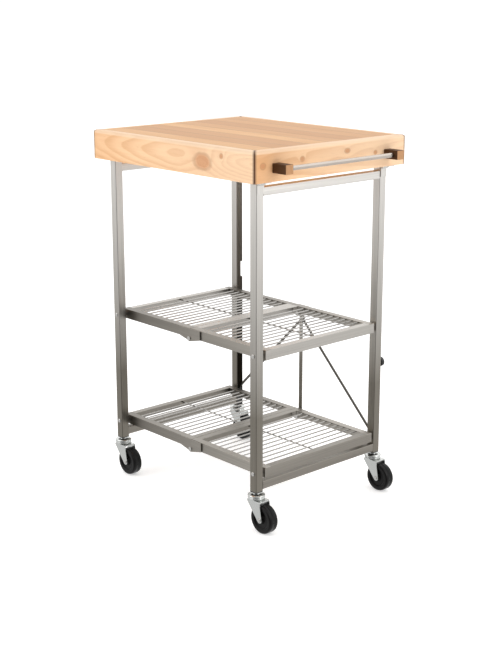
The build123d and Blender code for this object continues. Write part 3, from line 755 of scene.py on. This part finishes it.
panelLow, panelHigh = (np.array(c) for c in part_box("top_panel"))
panel = {"ease": 0.7 * mm, "gap": 0.15 * mm, "corner": 1.0 * mm}
post = {"corner": 1.4 * mm, "ease": 1.2 * mm}
towelRail = {"ease": 0.8 * mm, "facets": 40}
discs = rectDiscs(
    (panelLow[0] + panelHigh[0]) / 2,
    (panelLow[1] + panelHigh[1]) / 2,
    panelHigh[0] - panelLow[0] - 2 * panel["gap"],
    panelHigh[1] - panelLow[1] - 2 * panel["gap"],
    panel["corner"],
)
staves = sweepHull(*discs, "z", panelLow[2], panelHigh[2], panel["ease"])
makePiece("stave_panel", [staves], finish["panel"], "table_top", ["top_panel"])

for end in ("front", "rear"):
    low, high = (np.array(c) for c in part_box(f"rail_post_{end}"))
    middle, size = (low + high) / 2, high - low
    discs = rectDiscs(middle[1], middle[2], size[1], size[2], post["corner"])
    block = sweepHull(*discs, "x", low[0], high[0], post["ease"])
    makePiece(f"post_{end}", [block], finish["post"], "table_top", [f"rail_post_{end}"])

low, high = (np.array(c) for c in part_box("towel_rail"))
railCentre = (low + high) / 2
railDisc = [(railCentre[0], railCentre[2])], [(high[0] - low[0]) / 2]
railShape = sweepHull(*railDisc, "y", low[1], high[1], towelRail["ease"], count=towelRail["facets"])
makePiece("towel_tube", [railShape], finish["rail"], "table_top", ["towel_rail"])
print("wooden top done")


# Shelves.

bar = {
    "width": 18 * mm,
    "wall": 1.5 * mm,
    "bend": 1.3 * mm,
    "lip": 0.5 * mm,
    "ear": 1.6 * mm,
    "earRadius": 8 * mm,
    "earLength": 40 * mm,
    "earCorner": 0.6 * mm,
    "earEase": 0.4 * mm,
    "lap": 1.9 * mm,
    "padReach": 27 * mm,
    "padLength": 25 * mm,
    "padMargin": 5 * mm,
    "padCorner": 2 * mm,
    "padSink": 0.2 * mm,
    "tailCorner": 0.3 * mm,
    "tailEase": 0.05 * mm,
}
wire = {"radius": 1.7 * mm, "count": 10, "tuck": 8 * mm, "weld": 0.5 * mm, "ease": 0.3 * mm, "facets": 14}
fineEase = 0.1 * mm
foldX = float(pivotOf["lower_seam"][0])


def mirrorX(shape, centre):
    # the same grid reflected in the plane x = centre
    rings, normals = shape[0].copy(), shape[1].copy()
    rings[..., 0] = 2 * centre - rings[..., 0]
    normals[..., 0] *= -1
    return rings, normals


def mirrorY(shape):
    # the same grid reflected in the plane y = 0
    rings, normals = shape[0].copy(), shape[1].copy()
    rings[..., 1] *= -1
    normals[..., 1] *= -1
    return rings, normals


def angleOutline(outside, inside, bottom, top):
    # an L section: a wall at the outside edge and a flange along the top, with one bent outer corner
    wall = bar["wall"] if outside > inside else -bar["wall"]
    corners = [
        (outside - wall, bottom),
        (outside, bottom),
        (outside, top),
        (inside, top),
        (inside, top - bar["wall"]),
        (outside - wall, top - bar["wall"]),
    ]
    radii = [bar["lip"], bar["lip"], bar["bend"], bar["lip"], bar["lip"], 0.3 * mm]
    return (corners, radii) if outside > inside else (corners[::-1], radii[::-1])


def earOutline(centreZ, start, bottom, top):
    # a disc round the seam pin joined to a plate: the tangent from the plate's lower corner meets the disc at
    # atan(rise / length) + asin(radius / distance) - 90 degrees
    radius, length = bar["earRadius"], bar["earLength"]
    rise = bottom - centreZ
    tangent = math.atan2(rise, length) + math.asin(radius / math.hypot(length, rise)) - math.pi / 2
    first = math.acos((start - foldX) / radius)
    turn = np.linspace(first, 2 * math.pi + tangent, 28)
    arc = [(foldX + radius * math.cos(t), centreZ + radius * math.sin(t)) for t in turn]
    return [(foldX + length, bottom), (foldX + length, top), (start, top)] + arc


def halfShelf(level, side):
    # steel angles all round, an ear at the seam, and round wires tucked under the front and rear flanges
    body = f"{level}_{side}_shelf"
    low, high = (np.array(c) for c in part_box(f"side_bars_{level}_right"))
    crossLow, crossHigh = (np.array(c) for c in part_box(f"cross_bars_{level}_right"))
    bottom, top = crossLow[2], high[2]
    start, stop = crossLow[0], high[0]
    wall, width = bar["wall"], bar["width"]
    outer = crossHigh[1] + wall
    inner = outer - width
    centreZ = float(pivotOf[f"{level}_seam"][2])
    lap = bar["lap"] if side == "right" else 0.0
    corners, radii = angleOutline(outer, inner, bottom, top)
    shapes = [sweepOutline(corners, "x", start, stop, radii)]
    plate = earOutline(centreZ, start, bottom + wall / 2, top - wall / 2)
    earStart = outer + lap
    shapes.append(
        sweepOutline(plate, "y", earStart, earStart + bar["ear"], bar["earCorner"], bar["earEase"])
    )
    if side == "right":
        padHeight = top - bottom - bar["padMargin"]
        padX = foldX + bar["padReach"]
        pad = rectDiscs(padX, (bottom + top) / 2, bar["padLength"], padHeight, bar["padCorner"])
        shapes.append(sweepHull(*pad, "y", outer - bar["padSink"], earStart, fineEase))
    shapes += [mirrorY(s) for s in shapes]
    corners, radii = angleOutline(stop, stop - width, bottom, top)
    crosses = [sweepOutline(corners, "y", -inner, inner, radii)]
    tailHeight = top - bottom - wall
    tail = rectDiscs(stop - wall / 2, (bottom + top - wall) / 2, wall, tailHeight, bar["tailCorner"])
    tails = [sweepHull(*tail, "y", inner, outer - wall, bar["tailEase"])]
    crosses += tails + [mirrorY(s) for s in tails]
    corners, radii = angleOutline(start, start + width, bottom, top)
    crosses.append(sweepOutline(corners, "y", -inner, inner, radii))
    radius = wire["radius"]
    wireZ = top - wall - radius
    first, last = start + width, stop - width
    pitch = (last - first) / (wire["count"] + 1)
    reach = inner + wire["tuck"]
    facets = wire["facets"]
    wires = []
    for k in range(1, wire["count"] + 1):
        spot = [(first + k * pitch, wireZ)]
        wires.append(sweepHull(spot, [radius], "y", -reach, reach, wire["ease"], facets, steps=2))
    spine = [(0.0, wireZ - 2 * radius + wire["weld"])]
    wires.append(sweepHull(spine, [radius], "x", start + wall, stop - wall, fineEase, facets, steps=1))
    if side == "left":
        shapes, crosses, wires = ([mirrorX(s, foldX) for s in group] for group in (shapes, crosses, wires))
    key = f"{level}_{side}"
    makePiece(f"bars_{key}", shapes, finish["steelX"], body, [f"side_bars_{key}"])
    makePiece(f"ends_{key}", crosses, finish["steelY"], body, [f"cross_bars_{key}"])
    makePiece(f"wires_{key}", wires, finish["wire"], body, [f"grille_{key}"])


for level in ("upper", "lower"):
    for side in ("right", "left"):
        halfShelf(level, side)
print("shelves done")


# End frames.

tube = {"corner": 1.8 * mm, "ease": 0.2 * mm}
for side in ("right", "left"):
    for level in ("top", "bottom"):
        node = f"{level}_rail_{side}"
        low, high = (np.array(c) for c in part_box(node))
        middle, size = (low + high) / 2, high - low
        discs = rectDiscs(middle[0], middle[2], size[0], size[2], tube["corner"])
        rail = sweepHull(*discs, "y", low[1], high[1], tube["ease"])
        makePiece(f"{level}_tube_{side}", [rail], finish["steelY"], f"{side}_frame", [node])


# Casters. Profiles are (distance from the axis, place along it) in millimetres.

caster = {
    "race": [
        (0.4, 13.0), (9.0, 13.0), (9.4, 9.4), (17.0, 8.4), (20.4, 6.8), (21.0, 5.6), (21.0, 4.0),
        (19.4, 3.2), (19.4, 1.9), (20.4, 1.3), (20.4, 0.1), (14.0, 0.0), (0.4, 0.0),
    ],
    "wheel": [
        (3.6, 9.0), (6.4, 9.6), (8.6, 12.9), (10.2, 12.9), (10.8, 9.6), (21.6, 9.2), (23.6, 12.6),
        (30.5, 13.0), (33.8, 11.4), (34.98, 7.5), (34.98, 0.0),
    ],
    "nut": [(0.3, 2.4), (3.0, 2.4), (5.0, 1.7), (5.4, 0.6), (5.4, 0.0), (0.3, 0.0)],
    "crown": [(5.2, 0.0), (19.8, 0.0), (19.8, -2.0), (17.6, -3.5), (5.2, -3.5)],
    "cheekReach": 15,
    "hoodReach": 28,
    "cheekInner": 14.6,
    "cheekOuter": 16.6,
    "hoodThickness": 2.2,
    "hoodCorner": 3,
    "crownPlay": 0.3,
    "hoodDrop": 3.3,
    "cheekDrop": 3.2,
    "boss": 7.6,
    "wheelEdge": 1.2,
    "raceEdge": 0.9,
    "crownEdge": 0.8,
    "hoodEase": 0.7,
    "cheekEase": 0.6,
    "bolt": 3.5,
}


def scaled(points):
    # millimetres to metres
    return [(a * mm, b * mm) for a, b in points]


def casterPieces(side, end):
    # race, crown, wheel and axle are turned profiles; a cheek is a plate round two hood corners and the boss
    key = f"{side}_{end}"
    stem = pivotOf[f"swivel_{key}"]
    axle = pivotOf[f"roll_{key}"]
    corner = caster["hoodCorner"] * mm
    wheelProfile = scaled(caster["wheel"]) + [(r, -h) for r, h in scaled(caster["wheel"])[-2::-1]]
    tyre = latheRings(wheelProfile, axle, "y", caster["wheelEdge"] * mm, count=72)
    makePiece(f"wheel_{key}", [tyre], finish["wheel"], f"wheel_{key}", [f"caster_wheel_{key}"])
    crownTop = stem[2] - caster["crownPlay"] * mm
    crownSpot = (stem[0], stem[1], crownTop)
    crown = latheRings(scaled(caster["crown"]), crownSpot, "z", caster["crownEdge"] * mm)
    back, front = stem[0] - caster["cheekReach"] * mm, stem[0] + caster["hoodReach"] * mm
    outside, inside = caster["cheekOuter"] * mm, caster["cheekInner"] * mm
    hoodTop = crownTop - caster["hoodDrop"] * mm
    hoodPlan = rectDiscs((back + front) / 2, stem[1], front - back, 2 * outside, corner)
    hoodLow = hoodTop - caster["hoodThickness"] * mm
    hood = sweepHull(*hoodPlan, "z", hoodLow, hoodTop, caster["hoodEase"] * mm)
    shoulder = hoodTop - caster["cheekDrop"] * mm
    discs = [(back + corner, shoulder), (front - corner, shoulder), (axle[0], axle[2])]
    radii = [corner, corner, caster["boss"] * mm]
    ease = caster["cheekEase"] * mm
    cheeks = [
        sweepHull(discs, radii, "y", stem[1] + inside, stem[1] + outside, ease),
        sweepHull(discs, radii, "y", stem[1] - outside, stem[1] - inside, ease),
    ]
    fork = [crown, hood] + cheeks
    makePiece(f"fork_{key}", fork, finish["zinc"], f"fork_{key}", [f"caster_fork_{key}"])
    spot = [(axle[0], axle[2])]
    shank = [caster["bolt"] * mm]
    bolt = sweepHull(spot, shank, "y", axle[1] - outside, axle[1] + outside, fineEase, count=32)
    heads = []
    for way, count in ((1, 36), (-1, 6)):
        profile = [(r, h * way) for r, h in scaled(caster["nut"])]
        centre = (axle[0], axle[1] + way * outside, axle[2])
        heads.append(latheRings(profile, centre, "y", ease, count=count))
    makePiece(f"axle_{key}", [bolt] + heads, finish["rivet"], f"fork_{key}", [f"caster_axle_{key}"])


for side in ("right", "left"):
    races = []
    for end in ("front", "rear"):
        casterPieces(side, end)
        stem = pivotOf[f"swivel_{side}_{end}"]
        races.append(latheRings(scaled(caster["race"]), stem, "z", caster["raceEdge"] * mm, count=64))
    makePiece(f"races_{side}", races, finish["zinc"], f"{side}_frame", [f"caster_stems_{side}"])
print("casters done")


# Finishes of the CAD nodes that stay.

nodeFinish = {
    "leg_": "steelZ",
    "hinge_": "steelZ",
    "tie_": "steelZ",
    "diagonal_": "link",
    "latch_bush": "rivet",
    "latch_knob": "plastic",
    "leg_caps": "plastic",
    "stem_sockets": "plastic",
    "slide_roller": "plastic",
    "pivot_rivets": "rivet",
    "centre_pins": "rivet",
    "rail_post_screws": "rivet",
}
for name, node in frame["nodes"].items():
    chosen = [value for key, value in nodeFinish.items() if name.startswith(key)]
    if chosen:
        node.data.materials.clear()
        node.data.materials.append(finish[chosen[-1]])


# Floor, light and camera.

studio = {
    "floor": tone(252, 251, 250),
    "floorGlow": 0.42,
    "floorRadii": (0.05, 1.0, 3.0, 9.0),
    "floorFacets": 96,
    "world": 0.92,
    "shade": 0.75,
    "behind": (0.672, -0.74, 0.0),
    "aside": (0.74, 0.672, 0.0),
    "sideLift": 0.09,
    "skyLift": 0.5,
    "softness": 0.3,
    "seen": 1.05,
    "cameraAhead": 2.37176,
    "cameraAside": -2.14091,
    "cameraHeight": 1.26019,
    "azimuth": 47.743,
    "elevation": 14.852,
    "lens": 94.09,
    "sensor": 36,
}


def makeFloor():
    # a large disc of rings, level with the wheels, without the last face, which would close the outer ring
    turn = np.linspace(0, 2 * np.pi, studio["floorFacets"], endpoint=False)
    radii = np.array(studio["floorRadii"])
    points = np.zeros((len(radii), len(turn), 3))
    points[..., 0] = radii[:, None] * np.cos(turn)
    points[..., 1] = radii[:, None] * np.sin(turn)
    up = np.zeros_like(points)
    up[..., 2] = 1
    quads = gridFaces(points, up)[:-1]
    mesh = bpy.data.meshes.new("floor")
    mesh.from_pydata(points.reshape(-1, 3).tolist(), [], quads)
    floor = bpy.data.objects.new("floor", mesh)
    bpy.context.scene.collection.objects.link(floor)
    material, tree, shader = newMaterial("paleFloor")[:3]
    feed(tree, shader, Base_Color=studio["floor"], Roughness=0.65, Specular_IOR_Level=0.2)
    feed(tree, shader, Emission_Color=(1, 1, 1, 1), Emission_Strength=studio["floorGlow"])
    mesh.materials.append(material)
    floor.visible_glossy = False


def makeLight(name, spot, target, size, power):
    # a rectangular soft light that faces its target
    data = bpy.data.lights.new(name, "AREA")
    data.shape = "RECTANGLE"
    data.size, data.size_y = size
    data.energy = power
    lamp = bpy.data.objects.new(name, data)
    lamp.location = spot
    lamp.rotation_euler = (Vector(target) - Vector(spot)).to_track_quat("-Z", "Y").to_euler()
    bpy.context.scene.collection.objects.link(lamp)


def pointing(tree, direction, way):
    # how far a direction points the given way, from -1 to 1: their dot product
    inputs = {0: direction, 1: way}
    return add(tree, "ShaderNodeVectorMath", inputs, operation="DOT_PRODUCT").outputs["Value"]


def makeWorld():
    # white to the camera; to everything else a pale room, brighter to one side and above, and darker behind
    # the camera: world * (1 + sideLift * across) * (1 + skyLift * up) * (1 - shade * behind), and less by the
    # given softness for diffuse light than for reflections
    world = bpy.data.worlds.new("studioWorld")
    world.use_nodes = True
    tree = world.node_tree
    background = tree.nodes["Background"]
    direction = tree.nodes.new("ShaderNodeTexCoord").outputs["Generated"]
    behind = pointing(tree, direction, studio["behind"])
    across = pointing(tree, direction, studio["aside"])
    dark = smooth(tree, behind, 0.45, 0.9, 1.0, 1.0 - studio["shade"])
    lift = calc(tree, "MULTIPLY_ADD", across, studio["sideLift"], 1.0)
    up = add(tree, "ShaderNodeSeparateXYZ", {0: direction}).outputs[2]
    sky = smooth(tree, up, 0.0, 0.35, 1.0, 1.0 + studio["skyLift"])
    overhead = calc(tree, "MULTIPLY", sky, studio["world"])
    level = calc(tree, "MULTIPLY", calc(tree, "MULTIPLY", dark, lift), overhead)
    ray = tree.nodes.new("ShaderNodeLightPath").outputs
    softer = calc(tree, "MULTIPLY_ADD", ray["Is Diffuse Ray"], -studio["softness"], 1.0)
    level = calc(tree, "MULTIPLY", level, softer)
    seen = calc(tree, "MULTIPLY", ray["Is Camera Ray"], studio["seen"])
    tree.links.new(calc(tree, "MAXIMUM", level, seen), background.inputs["Strength"])
    background.inputs["Color"].default_value = (1, 1, 1, 1)
    bpy.context.scene.world = world


makeFloor()
makeLight("keySoftbox", (-1.2, -2.8, 2.0), target=(0, 0, 0.6), size=(1.8, 1.8), power=20)
makeLight("sideSoftbox", (2.8, 0.8, 1.7), target=(0, 0, 0.6), size=(1.4, 2.0), power=15)
makeLight("overhead", (0.2, 0.3, 3.2), target=(0, 0, 0), size=(2.5, 2.5), power=2)
makeWorld()
bpy.context.scene.view_settings.view_transform = "Standard"

cameraData = bpy.data.cameras.new("camera")
cameraData.sensor_fit = "HORIZONTAL"
cameraData.sensor_width = studio["sensor"]
cameraData.lens = studio["lens"]
camera = bpy.data.objects.new("camera", cameraData)
camera.location = (foldX + studio["cameraAhead"], studio["cameraAside"], studio["cameraHeight"])
camera.rotation_euler = (math.radians(90 - studio["elevation"]), 0, math.radians(studio["azimuth"]))
bpy.context.scene.collection.objects.link(camera)
bpy.context.scene.camera = camera
print("studio done")
